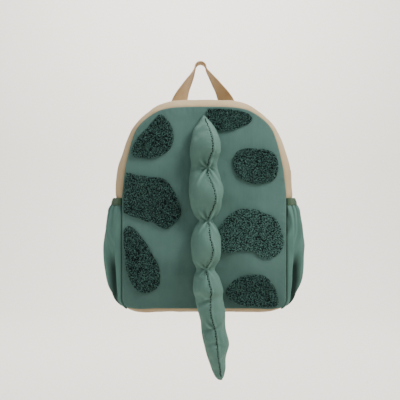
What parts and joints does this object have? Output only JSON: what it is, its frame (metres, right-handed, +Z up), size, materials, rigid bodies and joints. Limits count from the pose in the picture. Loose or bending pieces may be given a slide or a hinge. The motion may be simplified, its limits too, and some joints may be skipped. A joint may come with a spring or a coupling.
{
  "type": "child's backpack with a stuffed tail",
  "caption": "Small child's backpack with an arched padded front, fleece patches, gathered side pockets and a stuffed tail down the front, hanging by its carry loop",
  "frame": {"origin": "the point under the crown of the carry loop where the bag hangs on a hook", "axes": "+X to the right as seen from the front, +Y to the back (the side worn against the wearer), +Z up"},
  "size_m": [0.292, 0.1878, 0.4576],
  "materials": {
    "body_cloth": "smooth fine-woven cloth, blue-green",
    "fleece": "curled boucle pile, dark green",
    "canvas": "plain woven canvas, sand",
    "elastic": "gathered elastic binding, olive green",
    "webbing": "ribbed cotton webbing, tan",
    "zip_tape": "zip tape with moulded teeth",
    "hardware": "moulded plastic, satin"
  },
  "bodies": {
    "root": {"carry_loop": "webbing", "front_panel": "body_cloth", "back_panel": "body_cloth", "gusset_upper_front": "canvas", "gusset_upper_back": "canvas", "gusset_lower": "canvas", "zip": "zip_tape", "zip_slider": "hardware", "tail": "body_cloth", "patch_1": "fleece", "patch_2": "fleece", "patch_3": "fleece", "patch_4": "fleece", "patch_5": "fleece", "patch_6": "fleece", "patch_7": "fleece", "pocket_right": "body_cloth", "pocket_band_right": "elastic", "shoulder_pad_right": "body_cloth", "strap_webbing_right": "webbing", "pad_tab_right": "webbing", "buckle_right": "hardware", "pocket_left": "body_cloth", "pocket_band_left": "elastic", "shoulder_pad_left": "body_cloth", "strap_webbing_left": "webbing", "pad_tab_left": "webbing", "buckle_left": "hardware"}
  },
  "joints": []
}
